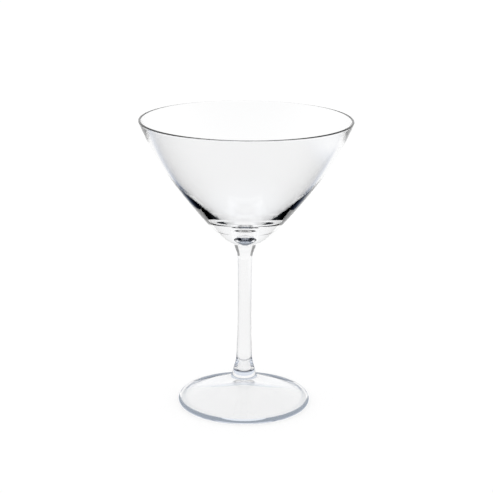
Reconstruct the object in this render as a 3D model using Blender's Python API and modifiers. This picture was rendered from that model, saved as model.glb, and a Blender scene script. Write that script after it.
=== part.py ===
"""Martini glass: a blown bowl, a drawn stem and a spun foot, three gathers of clear glass fused hot.

Run with: blender --background --python part.py
Units are metres, +Z is up, and the origin is the centre of the ring that the foot stands on.
Every piece is turned about +Z. A seam between two pieces keeps a hairline gap, so each stays a solid.
"""

from math import cos, pi, radians, sin

import bpy
from mathutils import Vector
from mathutils.geometry import interpolate_bezier

# Overall size
HEIGHT = 0.165
RIM_RADIUS = 0.0592
FOOT_RADIUS = 0.0376
SEAM_GAP = 0.0003

# Bowl, outside: a slightly bellied cone that closes to a small rounded underside.
# A slope is measured from the vertical, and a reach says how long a curve holds its end's direction.
LIP_THICKNESS = 0.0014
WALL_TOP_SLOPE = radians(21.4)
WALL_BASE_SLOPE = radians(41.1)
WALL_REACH = 0.0249
WALL_BASE_RADIUS = 0.0180
WALL_BASE_HEIGHT = 0.1027
UNDERSIDE_HEIGHT = 0.0947
UNDERSIDE_SLOPE = radians(83.0)
UNDERSIDE_REACH = 0.0050

# Bowl, inside: the wall grows from a thin lip to a heavy base, around a well that comes to a rounded point
INNER_TOP_SLOPE = radians(24.3)
INNER_TURN_SLOPE = radians(47.0)
INNER_TOP_REACH = 0.0188
INNER_LOW_REACH = 0.0266
INNER_TURN_RADIUS = 0.0212
INNER_TURN_HEIGHT = 0.1112
WELL_HEIGHT = 0.0998
WELL_SIDE_REACH = 0.0063
WELL_MIDDLE_REACH = 0.0057

# Stem: slender in the middle, flared where it meets the bowl and the foot
STEM_TOP_HEIGHT = 0.0942
STEM_TOP_RADIUS = 0.0064
STEM_UPPER_HEIGHT = 0.0848
STEM_UPPER_RADIUS = 0.00414
STEM_WAIST_RADIUS = 0.00384
STEM_LOWER_HEIGHT = 0.0369
STEM_LOWER_RADIUS = 0.00405
STEM_FOOT_RADIUS = 0.0053
STEM_FOOT_SLOPE = radians(18.0)

# Foot: a boss that ends the stem's flare, then a plate that falls to a rounded edge, hollow beneath
BOSS_HEIGHT = 0.0225
FLARE_END_RADIUS = 0.0078
FLARE_END_HEIGHT = 0.0148
FLARE_END_SLOPE = radians(55.0)
PLATE_SLOPE = radians(71.0)
EDGE_THICKNESS = 0.0040
RING_WIDTH = 0.0020
DOME_SLOPE = radians(70.0)
DOME_HEIGHT = 0.0115

# Facets
WIDE_STEPS = 56
STEM_STEPS = 28


def inward(slope):
    """The way down and towards the axis, at a slope from the vertical."""
    return Vector((-sin(slope), -cos(slope)))


def outward(slope):
    return Vector((sin(slope), -cos(slope)))


def curve(start, start_way, end, end_way, reach, count):
    """Points of a smooth curve that leaves start along start_way and arrives at end along end_way."""
    start, end = Vector(start), Vector(end)
    first_reach, last_reach = reach
    first_handle = start + start_way * first_reach
    last_handle = end - end_way * last_reach
    return interpolate_bezier(start, first_handle, last_handle, end, count)


def round_edge(centre, radius, first_angle, last_angle, count):
    step = (last_angle - first_angle) / (count - 1)
    angles = [first_angle + step * i for i in range(count)]
    return [centre + radius * Vector((cos(a), sin(a))) for a in angles]


def joined(*runs):
    """One outline from several runs, with the points that two runs share kept once."""
    smallest_step = 2e-4
    outline = []
    for point in (Vector(point) for run in runs for point in run):
        if not outline or (point - outline[-1]).length > smallest_step:
            outline.append(point)
    return outline


def glass(name, tint):
    material = bpy.data.materials.new(name)
    material.use_nodes = True
    shader = material.node_tree.nodes["Principled BSDF"]
    shader.inputs["Base Color"].default_value = (*tint, 1.0)
    shader.inputs["Roughness"].default_value = 0.0
    shader.inputs["Metallic"].default_value = 0.0
    shader.inputs["Transmission Weight"].default_value = 1.0
    shader.inputs["IOR"].default_value = 1.52
    material.diffuse_color = (*tint, 0.35)
    return material


def turned(name, outline, steps, material, collection):
    """A solid turned about Z from an outline of (radius, height) points that starts and ends on the axis."""
    mesh = bpy.data.meshes.new(name)
    points = [(point.x, 0.0, point.y) for point in outline]
    mesh.from_pydata(points, [(i, i + 1) for i in range(len(points) - 1)], [])
    mesh.materials.append(material)
    piece = bpy.data.objects.new(name, mesh)
    collection.objects.link(piece)
    screw = piece.modifiers.new("Turned", "SCREW")
    screw.axis = "Z"
    screw.angle = 2 * pi
    screw.steps = steps
    screw.render_steps = steps
    screw.use_merge_vertices = True
    screw.merge_threshold = 1e-5
    screw.use_smooth_shade = True
    return piece


def bowl_inside(lip_centre, lip_radius):
    """From the middle of the well up the inside to the lip."""
    inner_turn = (INNER_TURN_RADIUS, INNER_TURN_HEIGHT)
    wall = curve(
        lip_centre - Vector((lip_radius, 0)),
        inward(INNER_TOP_SLOPE),
        inner_turn,
        inward(INNER_TURN_SLOPE),
        (INNER_TOP_REACH, INNER_LOW_REACH),
        11,
    )
    well = curve(
        inner_turn,
        inward(INNER_TURN_SLOPE),
        (0, WELL_HEIGHT),
        Vector((-1, 0)),
        (WELL_SIDE_REACH, WELL_MIDDLE_REACH),
        8,
    )
    return (wall + well[1:])[::-1]


def bowl_outside(lip_centre, lip_radius):
    """From the lip down the outside to the edge of the seam with the stem."""
    wall_base = (WALL_BASE_RADIUS, WALL_BASE_HEIGHT)
    wall = curve(
        lip_centre + Vector((lip_radius, 0)),
        inward(WALL_TOP_SLOPE),
        wall_base,
        inward(WALL_BASE_SLOPE),
        (WALL_REACH, WALL_REACH),
        12,
    )
    underside = curve(
        wall_base,
        inward(WALL_BASE_SLOPE),
        (STEM_TOP_RADIUS + SEAM_GAP, UNDERSIDE_HEIGHT),
        inward(UNDERSIDE_SLOPE),
        (UNDERSIDE_REACH, UNDERSIDE_REACH),
        7,
    )
    return wall + underside


def bowl_outline():
    lip_radius = LIP_THICKNESS / 2
    lip_centre = Vector((RIM_RADIUS - lip_radius, HEIGHT - lip_radius))
    lip = round_edge(lip_centre, lip_radius, pi, 0, 5)
    seam_height = STEM_TOP_HEIGHT + SEAM_GAP
    seam = [(STEM_TOP_RADIUS, seam_height), (0, seam_height)]
    inside = bowl_inside(lip_centre, lip_radius)
    outside = bowl_outside(lip_centre, lip_radius)
    return joined(inside, lip, outside, seam)


def stem_outline():
    waist_height = (STEM_UPPER_HEIGHT + STEM_LOWER_HEIGHT) / 2
    foot_end = BOSS_HEIGHT + SEAM_GAP
    upper = (STEM_UPPER_RADIUS, STEM_UPPER_HEIGHT)
    waist = (STEM_WAIST_RADIUS, waist_height)
    lower = (STEM_LOWER_RADIUS, STEM_LOWER_HEIGHT)
    taper = radians(1.1)
    shaft_reach = (0.009, 0.009)
    upper_flare = curve(
        (STEM_TOP_RADIUS, STEM_TOP_HEIGHT),
        inward(radians(6)),
        upper,
        inward(taper),
        (0.0022, 0.0050),
        9,
    )
    upper_shaft = curve(upper, inward(taper), waist, inward(0), shaft_reach, 4)
    lower_shaft = curve(waist, outward(0), lower, outward(taper), shaft_reach, 4)
    lower_flare = curve(
        lower,
        outward(taper),
        (STEM_FOOT_RADIUS, foot_end),
        outward(STEM_FOOT_SLOPE),
        (0.0060, 0.0035),
        7,
    )
    top_centre = [(0, STEM_TOP_HEIGHT)]
    foot_centre = [(0, foot_end)]
    return joined(top_centre, upper_flare, upper_shaft, lower_shaft, lower_flare, foot_centre)


def foot_outline():
    edge_radius = EDGE_THICKNESS / 2
    edge_centre = Vector((FOOT_RADIUS - edge_radius, edge_radius))
    edge = round_edge(edge_centre, edge_radius, PLATE_SLOPE, -pi / 2, 7)
    flare_end = (FLARE_END_RADIUS, FLARE_END_HEIGHT)
    flare = curve(
        (STEM_FOOT_RADIUS, BOSS_HEIGHT),
        outward(STEM_FOOT_SLOPE),
        flare_end,
        outward(FLARE_END_SLOPE),
        (0.0040, 0.0010),
        8,
    )
    plate = curve(
        flare_end,
        outward(FLARE_END_SLOPE),
        edge[0],
        outward(PLATE_SLOPE),
        (0.0040, 0.0080),
        8,
    )
    dome = curve(
        (edge_centre.x - RING_WIDTH, 0),
        -outward(DOME_SLOPE),
        (0, DOME_HEIGHT),
        Vector((-1, 0)),
        (0.0200, 0.0040),
        9,
    )
    return joined([(0, BOSS_HEIGHT)], flare, plate, edge, dome)


def main():
    for stale in list(bpy.data.objects):
        bpy.data.objects.remove(stale, do_unlink=True)
    collection = bpy.data.collections.new("martini_glass")
    bpy.context.scene.collection.children.link(collection)
    turned("bowl", bowl_outline(), WIDE_STEPS, glass("bowl_glass", (0.97, 0.98, 0.99)), collection)
    turned("stem", stem_outline(), STEM_STEPS, glass("stem_glass", (0.96, 0.97, 0.98)), collection)
    turned("foot", foot_outline(), WIDE_STEPS, glass("foot_glass", (0.95, 0.97, 0.98)), collection)


main()
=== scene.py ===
"""Martini glass: the looks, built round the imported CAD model.

Bowl, stem and foot are three gathers of clear glass. Each one here is a fine turned mesh that
stands for its CAD solid. The faces where two of them are fused carry a clear material that bends
no light, so light crosses a seam as it does in the real glass.
"""

from math import cos, pi, radians, sin

import bpy
from mathutils import Matrix, Vector
from mathutils.geometry import interpolate_bezier

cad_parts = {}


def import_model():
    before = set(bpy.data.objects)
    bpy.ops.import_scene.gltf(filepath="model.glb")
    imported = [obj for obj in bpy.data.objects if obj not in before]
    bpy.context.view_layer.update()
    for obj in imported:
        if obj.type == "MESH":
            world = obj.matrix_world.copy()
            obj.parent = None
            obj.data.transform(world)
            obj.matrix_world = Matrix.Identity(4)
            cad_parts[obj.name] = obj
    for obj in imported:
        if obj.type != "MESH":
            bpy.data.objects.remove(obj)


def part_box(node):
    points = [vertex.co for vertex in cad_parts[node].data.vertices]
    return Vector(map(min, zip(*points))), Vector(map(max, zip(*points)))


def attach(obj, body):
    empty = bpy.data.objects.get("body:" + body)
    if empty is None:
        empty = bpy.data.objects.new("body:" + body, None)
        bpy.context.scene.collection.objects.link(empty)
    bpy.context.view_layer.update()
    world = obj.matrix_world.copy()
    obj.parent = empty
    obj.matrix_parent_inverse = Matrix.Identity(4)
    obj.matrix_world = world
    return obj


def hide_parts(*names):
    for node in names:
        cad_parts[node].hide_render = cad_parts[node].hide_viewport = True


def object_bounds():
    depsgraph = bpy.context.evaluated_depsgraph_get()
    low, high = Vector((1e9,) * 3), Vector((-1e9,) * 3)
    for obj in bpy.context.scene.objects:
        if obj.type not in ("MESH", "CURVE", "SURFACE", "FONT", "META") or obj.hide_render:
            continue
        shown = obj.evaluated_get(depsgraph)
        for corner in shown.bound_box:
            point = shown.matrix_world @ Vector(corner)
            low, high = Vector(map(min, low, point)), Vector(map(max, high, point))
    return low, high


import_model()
cad_low, cad_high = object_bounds()
bowl_low, bowl_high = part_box("bowl")
stem_low, stem_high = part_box("stem")
foot_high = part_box("foot")[1]

# Overall size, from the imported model. The origin is the centre of the ring that the foot stands on.
HEIGHT = cad_high.z
RIM_RADIUS = bowl_high.x
FOOT_RADIUS = foot_high.x
UPPER_SEAM = (bowl_low.z + stem_high.z) / 2
LOWER_SEAM = (stem_low.z + foot_high.z) / 2

# Bowl, outside: a slightly bellied cone that closes to a small rounded underside.
# A slope is measured from the vertical, and a reach says how long a curve holds its end's direction.
LIP_RADIUS = 0.0007
WALL_TOP_SLOPE = radians(21.4)
WALL_BASE_SLOPE = radians(41.1)
WALL_REACH = 0.0249
WALL_BASE = Vector((0.0180, HEIGHT - 0.0623))
UNDERSIDE_HEIGHT = UPPER_SEAM + 0.0004
UNDERSIDE_SLOPE = radians(83.0)
UNDERSIDE_REACH = 0.0050

# Bowl, inside: the wall grows from a thin lip to a heavy base, round a well with a rounded point
INNER_TOP_SLOPE = radians(24.3)
INNER_TURN_SLOPE = radians(47.0)
INNER_REACH = (0.0188, 0.0266)
INNER_TURN = Vector((0.0212, HEIGHT - 0.0538))
WELL_HEIGHT = HEIGHT - 0.0652
WELL_REACH = (0.0063, 0.0057)

# Stem: slender at the waist, flared at both ends
STEM_TOP_RADIUS = stem_high.x
STEM_TOP_SLOPE = radians(6.0)
STEM_TOP_REACH = (0.0022, 0.0050)
STEM_UPPER = Vector((0.00414, UPPER_SEAM - 0.0095))
STEM_WAIST_RADIUS = 0.00384
STEM_LOWER = Vector((0.00405, LOWER_SEAM + 0.0143))
STEM_FOOT_RADIUS = 0.0053
STEM_FOOT_SLOPE = radians(18.0)
STEM_FOOT_REACH = (0.0060, 0.0035)
STEM_TAPER = radians(1.1)
SHAFT_REACH = (0.009, 0.009)

# Foot: it ends the stem's flare, then a plate falls to a rounded edge. It is hollow beneath.
# The end of the flare and the width of the rest ring differ a little from the CAD's.
FLARE_END = Vector((0.0076, 0.0152))
FLARE_REACH = (0.0040, 0.0008)
TURN_SLOPE = radians(60.0)
PLATE_SLOPE = radians(71.0)
PLATE_REACH = (0.0040, 0.0080)
EDGE_RADIUS = 0.0020
RING_WIDTH = 0.0006
DOME_HEIGHT = 0.0115
DOME_SLOPE = radians(20.0)
DOME_REACH = (0.0200, 0.0040)

# Facets round the axis, and the steepest turn between two facets that is still shaded smooth
SEGMENTS = 256
SMOOTH_LIMIT = radians(50.0)

# Glass: noise scales are in waves per metre, and roughness is the shader's own
GLASS_COLOUR = (0.987, 0.988, 0.990, 1.0)
GLASS_IOR = 1.52
WAVE_SCALE = 28.0
WAVE_DETAIL = 1.0
WAVE_HEIGHT = 0.00002
SMEAR_SCALE = 90.0
SMEAR_DETAIL = 4.0
SMEAR_SPAN = (0.52, 0.75)
SMEAR_ROUGHNESS = 0.010
SCUFF_SCALE = 900.0
SCUFF_DETAIL = 3.0
WORN_HEIGHT = 0.0003
WORN_ROUGHNESS = 0.22

# Camera: the photo's own view, solved from the outline of the glass in it
CAMERA_PLACE = Vector((0.0, -0.7892, 0.3150))
CAMERA_LENS = 106.6
CAMERA_SENSOR = 36.0
CAMERA_CLIP = 0.01
CAMERA_DOWN = 0.2749
CAMERA_YAW = -0.00096
CAMERA_ROLL = 0.0095

# Room: a pale floor and a white sky
WHITE = (1.0, 1.0, 1.0)
BLACK = (0.0, 0.0, 0.0)
WORLD_STRENGTH = 1.01
FLOOR_SIZE = 12.0
FLOOR_GREY = 0.3
FLOOR_GLOW = 0.72
FLOOR_ROUGHNESS = 0.9

# Floor cards: glowing cards a millimetre above the floor, shown only in light that the glass mirrors, so
# their colours are painted reflections in the glass.
# A span gives where a card's fade starts and ends, and its stops are colours along the fade.
CARD_HEIGHT = 0.001
CARD_NEAR = 0.10
CARD_EDGE = 0.5
CARD_FRONT = -0.5
CARD_REAR = 0.6
LEFT_FAR = (0.17, 0.36)
RIGHT_FAR = (0.14, 0.24)
LEFT_BACK = (0.03, 0.32)
RIGHT_BACK = (0.03, 0.27)
# Side cards' colours, a painted reflection: black by the glass, through navy to white, for the dark wedges
# at the base of the bowl
CARD_STOPS = (
    (0.0, BLACK),
    (0.25, (0.004, 0.007, 0.018)),
    (0.5, (0.10, 0.13, 0.20)),
    (0.75, (0.45, 0.50, 0.60)),
    (1.0, WHITE),
)
# Middle card: a painted reflection, grey beneath the glass and black further out, seen only in mirrored
# light
MIDDLE_HEIGHT = 0.0008
MIDDLE_REAR = 0.10
MIDDLE_FADE = (0.04, 0.11)
MIDDLE_STOPS = ((0.0, (0.32, 0.36, 0.42)), (1.0, BLACK))
# Foot card: a painted reflection beneath the foot, seen only in mirrored light, dark at the middle and light
# further out with a narrow dark band, which darkens the foot
FOOT_HALF = 0.040
FOOT_FADE = (0.006, 0.040)
FOOT_FRONT = (-0.012, -0.032)
FOOT_STOPS = (
    (0.0, (0.0, 0.01, 0.03)),
    (0.3, (0.05, 0.07, 0.12)),
    (0.6, (0.50, 0.55, 0.65)),
    (0.84, (0.75, 0.80, 0.88)),
    (0.90, (0.15, 0.19, 0.27)),
    (0.95, (0.65, 0.70, 0.80)),
    (1.0, (0.80, 0.85, 0.92)),
)

# Ceiling: a card overhead, grey in front and white above the glass, also seen only in mirrored light; its
# grey is a painted reflection in the glass
CEILING_HEIGHT = 0.9
CEILING_SPAN = (-3.0, 3.0, -3.0, 0.0)
CEILING_FADE = (-1.2, 0.0)
CEILING_STOPS = ((0.0, (0.55, 0.55, 0.55)), (1.0, WHITE))

# Flags: grey glowing uprights, seen only in light that the glass bends and never mirrors; their grey is
# painted shade along the glass's edges
FLAG_DISTANCE = 1.6
FLAG_HALF = 0.40
FLAG_HEIGHT = 0.7
FLAG_GREY = 0.40

# Light paths: few mirrorings, because light mirrored on and on along the wall ends in the white sky
# and washes out the dark wedges at the base of the bowl
GLOSSY_BOUNCES = 8
OTHER_BOUNCES = 40


def inward(slope):
    """The way down and towards the axis, at a slope from the vertical."""
    return Vector((-sin(slope), -cos(slope)))


def outward(slope):
    """The way down and away from the axis, at a slope from the vertical."""
    return Vector((sin(slope), -cos(slope)))


def curve(start, start_way, end, end_way, reach, count):
    """Points of a smooth curve that leaves start along start_way and arrives at end along end_way."""
    start, end = Vector(start), Vector(end)
    first_reach, last_reach = reach
    first_handle = start + start_way * first_reach
    last_handle = end - end_way * last_reach
    return interpolate_bezier(start, first_handle, last_handle, end, count)


def round_edge(centre, radius, first_angle, last_angle, count):
    """Points along an arc."""
    step = (last_angle - first_angle) / (count - 1)
    angles = [first_angle + step * i for i in range(count)]
    return [centre + radius * Vector((cos(a), sin(a))) for a in angles]


def joined(*runs):
    """One outline from several runs, with the points that two runs share kept once."""
    smallest_step = 2e-6
    outline = []
    for point in (Vector(point) for run in runs for point in run):
        if not outline or (point - outline[-1]).length > smallest_step:
            outline.append(point)
    return outline


def bowl_outline():
    """From the middle of the well up the inside, over the lip and down the outside to the seam."""
    lip_centre = Vector((RIM_RADIUS - LIP_RADIUS, HEIGHT - LIP_RADIUS))
    inner_wall = curve(
        lip_centre - Vector((LIP_RADIUS, 0)),
        inward(INNER_TOP_SLOPE),
        INNER_TURN,
        inward(INNER_TURN_SLOPE),
        INNER_REACH,
        60,
    )
    well = curve(
        INNER_TURN,
        inward(INNER_TURN_SLOPE),
        (0, WELL_HEIGHT),
        Vector((-1, 0)),
        WELL_REACH,
        40,
    )
    lip = round_edge(lip_centre, LIP_RADIUS, pi, 0, 13)
    outer_wall = curve(
        lip_centre + Vector((LIP_RADIUS, 0)),
        inward(WALL_TOP_SLOPE),
        WALL_BASE,
        inward(WALL_BASE_SLOPE),
        (WALL_REACH, WALL_REACH),
        70,
    )
    underside = curve(
        WALL_BASE,
        inward(WALL_BASE_SLOPE),
        (STEM_TOP_RADIUS, UNDERSIDE_HEIGHT),
        inward(UNDERSIDE_SLOPE),
        (UNDERSIDE_REACH, UNDERSIDE_REACH),
        30,
    )
    seam = [(STEM_TOP_RADIUS, UPPER_SEAM), (0, UPPER_SEAM)]
    return joined((inner_wall + well[1:])[::-1], lip, outer_wall, underside, seam)


def stem_outline():
    waist = Vector((STEM_WAIST_RADIUS, (STEM_UPPER.y + STEM_LOWER.y) / 2))
    upper_flare = curve(
        (STEM_TOP_RADIUS, UPPER_SEAM),
        inward(STEM_TOP_SLOPE),
        STEM_UPPER,
        inward(STEM_TAPER),
        STEM_TOP_REACH,
        40,
    )
    upper_shaft = curve(STEM_UPPER, inward(STEM_TAPER), waist, inward(0), SHAFT_REACH, 20)
    lower_shaft = curve(waist, outward(0), STEM_LOWER, outward(STEM_TAPER), SHAFT_REACH, 20)
    lower_flare = curve(
        STEM_LOWER,
        outward(STEM_TAPER),
        (STEM_FOOT_RADIUS, LOWER_SEAM),
        outward(STEM_FOOT_SLOPE),
        STEM_FOOT_REACH,
        40,
    )
    top_centre = [(0, UPPER_SEAM)]
    foot_centre = [(0, LOWER_SEAM)]
    return joined(top_centre, upper_flare, upper_shaft, lower_shaft, lower_flare, foot_centre)


def foot_outline():
    edge_centre = Vector((FOOT_RADIUS - EDGE_RADIUS, EDGE_RADIUS))
    flare = curve(
        (STEM_FOOT_RADIUS, LOWER_SEAM),
        outward(STEM_FOOT_SLOPE),
        FLARE_END,
        outward(TURN_SLOPE),
        FLARE_REACH,
        50,
    )
    edge = round_edge(edge_centre, EDGE_RADIUS, PLATE_SLOPE, -pi / 2, 33)
    plate = curve(FLARE_END, outward(TURN_SLOPE), edge[0], outward(PLATE_SLOPE), PLATE_REACH, 60)
    ring_inside = edge_centre.x - RING_WIDTH
    dome = curve(
        (ring_inside, 0),
        Vector((-cos(DOME_SLOPE), sin(DOME_SLOPE))),
        (0, DOME_HEIGHT),
        Vector((-1, 0)),
        DOME_REACH,
        60,
    )
    return joined([(0, LOWER_SEAM)], flare, plate, edge, dome)


def rings_of(outline):
    """The vertices, and a ring of vertex numbers for each outline point. On the axis a ring has just one."""
    on_axis = 1e-7
    vertices, rings = [], []
    for radius, height in outline:
        count = 1 if radius < on_axis else SEGMENTS
        rings.append(list(range(len(vertices), len(vertices) + count)))
        for angle in (2 * pi * i / SEGMENTS for i in range(count)):
            vertices.append((radius * cos(angle), radius * sin(angle), height))
    return vertices, rings


def faces_between(rings):
    faces = []
    for upper, lower in zip(rings[:-1], rings[1:]):
        for i in range(SEGMENTS):
            j = (i + 1) % SEGMENTS
            if len(upper) == 1:
                faces.append((upper[0], lower[i], lower[j]))
            elif len(lower) == 1:
                faces.append((upper[i], lower[0], upper[j]))
            else:
                faces.append((upper[i], lower[i], lower[j], upper[j]))
    return faces


def turned(name, outline, materials, seam_heights):
    """A closed mesh turned about Z. The flat faces at its seam heights take the second material."""
    vertices, rings = rings_of(outline)
    mesh = bpy.data.meshes.new(name)
    mesh.from_pydata(vertices, [], faces_between(rings))
    for material in materials:
        mesh.materials.append(material)
    mesh.shade_smooth()
    for polygon in mesh.polygons:
        if any(lies_at(polygon, height) for height in seam_heights):
            polygon.material_index = 1
            polygon.use_smooth = False
    mesh.set_sharp_from_angle(angle=SMOOTH_LIMIT)
    piece = bpy.data.objects.new(name, mesh)
    bpy.context.scene.collection.objects.link(piece)
    return piece


def lies_at(polygon, height):
    hairline = 1e-6
    vertices = polygon.id_data.vertices
    return all(abs(vertices[i].co.z - height) < hairline for i in polygon.vertices)


def noise(nodes, links, place, scale, detail):
    piece = nodes.new("ShaderNodeTexNoise")
    piece.inputs["Scale"].default_value = scale
    piece.inputs["Detail"].default_value = detail
    links.new(place, piece.inputs["Vector"])
    return piece.outputs["Fac"]


def spread(nodes, links, value, source, target):
    """The value, carried from the source's span to the target's."""
    piece = nodes.new("ShaderNodeMapRange")
    for name, number in zip(("From Min", "From Max", "To Min", "To Max"), (*source, *target)):
        piece.inputs[name].default_value = number
    links.new(value, piece.inputs["Value"])
    return piece.outputs["Result"]


def clear_glass():
    """Clear glass: faint waves from the fire, a smear here and there, and a rest ring rubbed by tables."""
    material = bpy.data.materials.new("clear_glass")
    material.use_nodes = True
    nodes, links = material.node_tree.nodes, material.node_tree.links
    shader = nodes["Principled BSDF"]
    shader.inputs["Base Color"].default_value = GLASS_COLOUR
    shader.inputs["IOR"].default_value = GLASS_IOR
    shader.inputs["Transmission Weight"].default_value = 1.0
    place = nodes.new("ShaderNodeTexCoord").outputs["Object"]

    cloud = noise(nodes, links, place, SMEAR_SCALE, SMEAR_DETAIL)
    smears = spread(nodes, links, cloud, SMEAR_SPAN, (0.0, SMEAR_ROUGHNESS))
    split = nodes.new("ShaderNodeSeparateXYZ")
    links.new(place, split.inputs["Vector"])
    low = spread(nodes, links, split.outputs["Z"], (0.0, WORN_HEIGHT), (WORN_ROUGHNESS, 0.0))
    scuffs = nodes.new("ShaderNodeMath")
    scuffs.operation = "MULTIPLY"
    links.new(low, scuffs.inputs[0])
    links.new(noise(nodes, links, place, SCUFF_SCALE, SCUFF_DETAIL), scuffs.inputs[1])
    rough = nodes.new("ShaderNodeMath")
    rough.operation = "MAXIMUM"
    links.new(smears, rough.inputs[0])
    links.new(scuffs.outputs["Value"], rough.inputs[1])
    links.new(rough.outputs["Value"], shader.inputs["Roughness"])

    waves = nodes.new("ShaderNodeBump")
    waves.inputs["Strength"].default_value = 1.0
    waves.inputs["Distance"].default_value = WAVE_HEIGHT
    links.new(noise(nodes, links, place, WAVE_SCALE, WAVE_DETAIL), waves.inputs["Height"])
    links.new(waves.outputs["Normal"], shader.inputs["Normal"])
    return material


def fused_seam():
    """The glass on both sides of a seam is the same, so the seam itself bends no light."""
    material = bpy.data.materials.new("fused_seam")
    material.use_nodes = True
    nodes = material.node_tree.nodes
    nodes.remove(nodes["Principled BSDF"])
    clear = nodes.new("ShaderNodeBsdfTransparent")
    material.node_tree.links.new(clear.outputs["BSDF"], nodes["Material Output"].inputs["Surface"])
    return material


def camera():
    """The photo's view: it looks down by CAMERA_DOWN, with a trace of yaw and roll."""
    data = bpy.data.cameras.new("camera")
    data.sensor_width = CAMERA_SENSOR
    data.lens = CAMERA_LENS
    data.clip_start = CAMERA_CLIP
    piece = bpy.data.objects.new("camera", data)
    bpy.context.scene.collection.objects.link(piece)
    turn = Matrix.Rotation(CAMERA_YAW, 4, "Z") @ Matrix.Rotation(pi / 2 - CAMERA_DOWN, 4, "X")
    piece.matrix_world = Matrix.Translation(CAMERA_PLACE) @ turn @ Matrix.Rotation(CAMERA_ROLL, 4, "Z")
    bpy.context.scene.camera = piece


def floor():
    """A plain pale floor, whose own glow keeps it as bright as the sky."""
    bpy.ops.mesh.primitive_plane_add(size=FLOOR_SIZE, location=(0, 0, 0))
    piece = bpy.context.object
    piece.name = "floor"
    material = bpy.data.materials.new("pale_floor")
    material.use_nodes = True
    shader = material.node_tree.nodes["Principled BSDF"]
    shader.inputs["Roughness"].default_value = FLOOR_ROUGHNESS
    shader.inputs["Specular IOR Level"].default_value = 0.0
    shader.inputs["Base Color"].default_value = (FLOOR_GREY, FLOOR_GREY, FLOOR_GREY, 1.0)
    shader.inputs["Emission Color"].default_value = (*WHITE, 1.0)
    shader.inputs["Emission Strength"].default_value = FLOOR_GLOW
    piece.data.materials.append(material)


def world():
    sky = bpy.data.worlds.new("studio")
    bpy.context.scene.world = sky
    sky.use_nodes = True
    background = sky.node_tree.nodes["Background"]
    background.inputs["Color"].default_value = (*WHITE, 1.0)
    background.inputs["Strength"].default_value = WORLD_STRENGTH


def link_mirrored(nodes, links, surface, out, shown_when="GREATER_THAN"):
    """Shows a surface only in light that the glass has mirrored, inside or out.

    With LESS_THAN it is the other way about: only light that was never mirrored shows the surface.
    """
    path = nodes.new("ShaderNodeLightPath")
    mirrored = nodes.new("ShaderNodeMath")
    mirrored.operation = shown_when
    between_none_and_one = 0.5
    mirrored.inputs[1].default_value = between_none_and_one
    links.new(path.outputs["Glossy Depth"], mirrored.inputs[0])
    clear = nodes.new("ShaderNodeBsdfTransparent")
    mix = nodes.new("ShaderNodeMixShader")
    links.new(mirrored.outputs["Value"], mix.inputs["Fac"])
    links.new(clear.outputs["BSDF"], mix.inputs[1])
    links.new(surface, mix.inputs[2])
    links.new(mix.outputs["Shader"], out)


def ramp(nodes, stops):
    """A colour ramp through the stops, each a place from 0 to 1 and a colour."""
    piece = nodes.new("ShaderNodeValToRGB")
    elements = piece.color_ramp.elements
    while len(elements) < len(stops):
        elements.new(0.5)
    for element, (place, colour) in zip(elements, stops):
        element.position = place
        element.color = (*colour, 1.0)
    return piece


def fade(nodes, links, value, start, end):
    """A smooth step from 0 at start to 1 at end."""
    piece = nodes.new("ShaderNodeMapRange")
    piece.interpolation_type = "SMOOTHSTEP"
    piece.inputs["From Min"].default_value = start
    piece.inputs["From Max"].default_value = end
    links.new(value, piece.inputs["Value"])
    return piece.outputs["Result"]


def glowing(name, make_fade, stops):
    """A card's painted reflection: it glows in the stops' colours along a fade, and only mirrored light sees
    it.
    """
    material = bpy.data.materials.new(name)
    material.use_nodes = True
    nodes, links = material.node_tree.nodes, material.node_tree.links
    nodes.remove(nodes["Principled BSDF"])
    place = nodes.new("ShaderNodeTexCoord")
    split = nodes.new("ShaderNodeSeparateXYZ")
    links.new(place.outputs["Object"], split.inputs["Vector"])
    radius = nodes.new("ShaderNodeVectorMath")
    radius.operation = "LENGTH"
    links.new(place.outputs["Object"], radius.inputs[0])
    ways = {"X": split.outputs["X"], "Y": split.outputs["Y"], "radius": radius.outputs["Value"]}
    colours = ramp(nodes, stops)
    links.new(make_fade(nodes, links, ways), colours.inputs["Fac"])
    glow = nodes.new("ShaderNodeEmission")
    links.new(colours.outputs["Color"], glow.inputs["Color"])
    link_mirrored(nodes, links, glow.outputs["Emission"], nodes["Material Output"].inputs["Surface"])
    return material


def graded_both(name, first, second, stops):
    """A painted reflection graded two ways at once, by whichever of the two fades is further on."""

    def make_fade(nodes, links, place):
        most = nodes.new("ShaderNodeMath")
        most.operation = "MAXIMUM"
        for socket, (way, span) in zip(most.inputs, (first, second)):
            links.new(fade(nodes, links, place[way], *span), socket)
        return most.outputs["Value"]

    return glowing(name, make_fade, stops)


def side_painted_reflection(side, far, back):
    """Painted reflection for the bowl's dark wedges: black by the glass, and through navy to the white of
    the room away from it.
    """
    return graded_both("side_card", ("X", [side * x for x in far]), ("Y", back), CARD_STOPS)


def graded_painted_reflection(name, way, span, stops):
    """A painted reflection graded one way: along X, along Y or by the distance from the origin."""

    def make_fade(nodes, links, place):
        return fade(nodes, links, place[way], *span)

    return glowing(name, make_fade, stops)


def card(name, corners, material):
    """A staged card that lights nothing, casts no shadow and is never seen directly."""
    mesh = bpy.data.meshes.new(name)
    mesh.from_pydata(corners, [], [(0, 1, 2, 3)])
    mesh.materials.append(material)
    piece = bpy.data.objects.new(name, mesh)
    bpy.context.scene.collection.objects.link(piece)
    piece.visible_camera = False
    piece.visible_diffuse = False
    piece.visible_shadow = False


def level_card(name, sides, ends, height, material):
    """A level card between two X places and two Y places."""
    first, last = sides
    front, rear = ends
    corners = [(first, front, height), (first, rear, height), (last, rear, height), (last, front, height)]
    card(name, corners, material)


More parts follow.
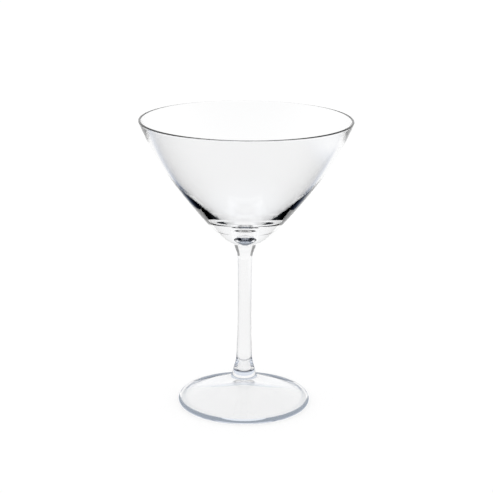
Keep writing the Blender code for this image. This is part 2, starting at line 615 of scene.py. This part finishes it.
def floor_cards():
    """Dark glowing cards beside the glass paint the reflections that darken the bowl's wedges, and two
    beneath it paint those that darken its base and the foot.
    """
    for side, far, back in ((-1, LEFT_FAR, LEFT_BACK), (1, RIGHT_FAR, RIGHT_BACK)):
        sides = (side * CARD_NEAR, side * CARD_EDGE)
        level_card("side_card", sides, (CARD_FRONT, CARD_REAR), CARD_HEIGHT, side_painted_reflection(side, far, back))
    # The middle card's glow is a painted reflection beneath the bowl's base
    middle_painted_reflection = graded_painted_reflection("middle_card", "radius", MIDDLE_FADE, MIDDLE_STOPS)
    middle_sides = (-CARD_NEAR, CARD_NEAR)
    level_card("middle_card", middle_sides, (CARD_FRONT, MIDDLE_REAR), MIDDLE_HEIGHT, middle_painted_reflection)
    # The foot card's glow is a painted reflection that darkens the foot
    foot_painted_reflection = graded_both("foot_card", ("radius", FOOT_FADE), ("Y", FOOT_FRONT), FOOT_STOPS)
    foot_span = (-FOOT_HALF, FOOT_HALF)
    level_card("foot_card", foot_span, foot_span, CARD_HEIGHT, foot_painted_reflection)


def ceiling():
    """An overhead card, which the glass mirrors in place of the white sky; its grey front is a painted
    reflection.
    """
    left, right, front, rear = CEILING_SPAN
    ceiling_painted_reflection = graded_painted_reflection("ceiling", "Y", CEILING_FADE, CEILING_STOPS)
    level_card("ceiling", (left, right), (front, rear), CEILING_HEIGHT, ceiling_painted_reflection)


def flags():
    """Grey glowing uprights in the corners of the room, seen only through the glass, which paint shade along
    edges of the glass where it is seen level.
    """
    material = bpy.data.materials.new("flag")
    material.use_nodes = True
    nodes, links = material.node_tree.nodes, material.node_tree.links
    nodes.remove(nodes["Principled BSDF"])
    glow = nodes.new("ShaderNodeEmission")
    glow.inputs["Color"].default_value = (FLAG_GREY, FLAG_GREY, FLAG_GREY, 1.0)
    out = nodes["Material Output"].inputs["Surface"]
    link_mirrored(nodes, links, glow.outputs["Emission"], out, "LESS_THAN")
    for quarter in range(4):
        turn = Matrix.Rotation(pi / 4 + quarter * pi / 2, 4, "Z")
        upright = [
            (FLAG_DISTANCE, -FLAG_HALF, 0.0),
            (FLAG_DISTANCE, FLAG_HALF, 0.0),
            (FLAG_DISTANCE, FLAG_HALF, FLAG_HEIGHT),
            (FLAG_DISTANCE, -FLAG_HALF, FLAG_HEIGHT),
        ]
        card("flag", [turn @ Vector(corner) for corner in upright], material)


def light_paths():
    """Sets how often light may bounce, and nothing else about the engine."""
    cycles = bpy.context.scene.cycles
    cycles.max_bounces = OTHER_BOUNCES
    cycles.glossy_bounces = GLOSSY_BOUNCES
    cycles.transmission_bounces = OTHER_BOUNCES
    cycles.transparent_max_bounces = OTHER_BOUNCES


glass = clear_glass()
seam = fused_seam()
pieces = {
    "bowl": (bowl_outline(), [UPPER_SEAM]),
    "stem": (stem_outline(), [UPPER_SEAM, LOWER_SEAM]),
    "foot": (foot_outline(), [LOWER_SEAM]),
}
for node, (outline, seam_heights) in pieces.items():
    piece = turned("glass_" + node, outline, (glass, seam), seam_heights)
    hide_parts(node)
    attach(piece, "root")

camera()
floor_cards()
ceiling()
flags()
floor()
world()
bpy.context.scene.view_settings.view_transform = "Standard"
light_paths()
